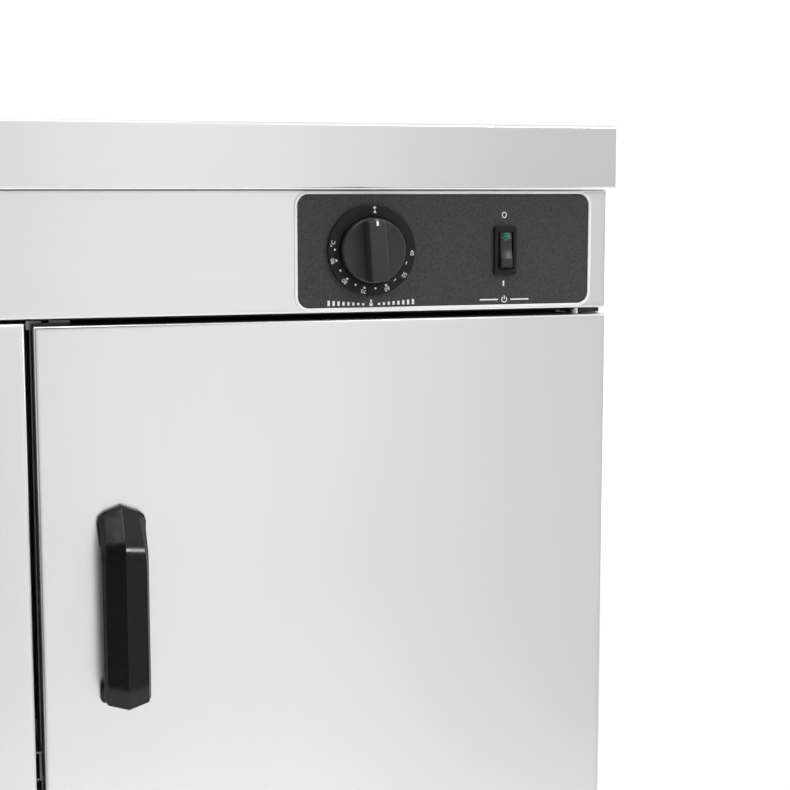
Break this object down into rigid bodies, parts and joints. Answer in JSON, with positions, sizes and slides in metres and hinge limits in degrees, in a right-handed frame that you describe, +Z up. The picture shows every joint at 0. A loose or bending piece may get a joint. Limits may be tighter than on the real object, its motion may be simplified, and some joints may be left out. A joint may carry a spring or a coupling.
{
  "type": "food holding cabinet",
  "caption": "Two-door heated holding cabinet in stainless sheet, with a flat worktop, dial thermostat, lit rocker switch, wire shelves and adjustable feet.",
  "frame": {"origin": "on the floor, under the middle of the whole cabinet with its handles and cable gland", "axes": "+Z up, the doors face -Y, +X to the right as seen from the front"},
  "size_m": [0.753, 0.5311, 0.855],
  "materials": {
    "outer_steel": "fine brushed stainless sheet, folded",
    "inner_steel": "dull stainless sheet",
    "shelf_wire": "bright plated wire",
    "zinc": "bright zinc-plated steel",
    "handle_black": "glossy black moulding",
    "knob_black": "black moulding, satin to gloss",
    "control_black": "satin black moulding",
    "foot_black": "black nylon",
    "plate_grey": "dark grey, finely sanded, with a silver edge",
    "glass_wool": "yellow glass wool",
    "ferrite": "dark ferrite block",
    "lamp_green": "clear green jewel lens",
    "heater_sheath": "heat-darkened steel tube",
    "copper": "bare copper",
    "block_white": "cream thermoset"
  },
  "bodies": {
    "cabinet": {"worktop": "outer_steel", "side_panel_left": "outer_steel", "side_panel_right": "outer_steel", "back_panel": "outer_steel", "base_rail": "outer_steel", "control_fascia": "outer_steel", "base_pan": "inner_steel", "chamber_ceiling": "inner_steel", "liner_left": "inner_steel", "liner_right": "inner_steel", "liner_back": "inner_steel", "chamber_floor": "inner_steel", "centre_post": "inner_steel", "centre_channels_upper": "inner_steel", "centre_channels_lower": "inner_steel", "shelf_rack_left": "inner_steel", "shelf_rack_right": "inner_steel", "leg_front_left": "outer_steel", "leg_front_right": "outer_steel", "leg_rear_left": "outer_steel", "leg_rear_right": "outer_steel", "shelf_upper_left": "shelf_wire", "shelf_upper_right": "shelf_wire", "shelf_lower_left": "shelf_wire", "shelf_lower_right": "shelf_wire", "element_bracket": "zinc", "stop_plate": "zinc", "hinge_bracket_top_left": "zinc", "hinge_bracket_top_right": "zinc", "hinge_bracket_bottom_left": "zinc", "hinge_bracket_bottom_right": "zinc", "hinge_pin_top_left": "zinc", "hinge_pin_top_right": "zinc", "hinge_pin_bottom_left": "zinc", "hinge_pin_bottom_right": "zinc", "dial_bezel": "control_black", "switch_frame": "control_black", "thermostat_body": "control_black", "cable_gland": "control_black", "control_plate": "plate_grey", "insulation_blanket": "glass_wool", "catch_magnet_left": "ferrite", "catch_magnet_right": "ferrite", "heating_element": "heater_sheath", "thermostat_bulb": "copper", "terminal_block": "block_white"},
    "door_left": {"door_skin_left": "outer_steel", "door_liner_left": "inner_steel", "door_handle_left": "handle_black"},
    "door_right": {"door_skin_right": "outer_steel", "door_liner_right": "inner_steel", "door_handle_right": "handle_black"},
    "knob": {"temperature_knob": "knob_black", "thermostat_shaft": "zinc"},
    "rocker": {"switch_rocker": "knob_black", "switch_lamp": "lamp_green"},
    "levelling_foot_front_left": {"foot_front_left": "foot_black"},
    "levelling_foot_front_right": {"foot_front_right": "foot_black"},
    "levelling_foot_rear_left": {"foot_rear_left": "foot_black"},
    "levelling_foot_rear_right": {"foot_rear_right": "foot_black"}
  },
  "joints": [
    {"name": "door_left_swing", "type": "hinge", "parent": "cabinet", "child": "door_left", "pos_m": [-0.355, -0.228, 0.435], "axis": [0, 0, -1], "range_deg": [0, 120]},
    {"name": "door_right_swing", "type": "hinge", "parent": "cabinet", "child": "door_right", "pos_m": [0.355, -0.228, 0.433], "axis": [0, 0, 1], "range_deg": [0, 120]},
    {"name": "knob_turn", "type": "hinge", "parent": "cabinet", "child": "knob", "pos_m": [0.2117, -0.2445, 0.7763], "axis": [0, 1, 0], "range_deg": [0, 258]},
    {"name": "rocker_tilt", "type": "hinge", "parent": "cabinet", "child": "rocker", "pos_m": [0.301, -0.2395, 0.7753], "axis": [1, 0, 0], "range_deg": [0, 18]},
    {"name": "foot_front_left_extend", "type": "slide", "parent": "cabinet", "child": "levelling_foot_front_left", "axis": [0, 0, -1], "range_m": [0, 0.025]},
    {"name": "foot_front_right_extend", "type": "slide", "parent": "cabinet", "child": "levelling_foot_front_right", "axis": [0, 0, -1], "range_m": [0, 0.025]},
    {"name": "foot_rear_left_extend", "type": "slide", "parent": "cabinet", "child": "levelling_foot_rear_left", "axis": [0, 0, -1], "range_m": [0, 0.025]},
    {"name": "foot_rear_right_extend", "type": "slide", "parent": "cabinet", "child": "levelling_foot_rear_right", "axis": [0, 0, -1], "range_m": [0, 0.025]}
  ]
}
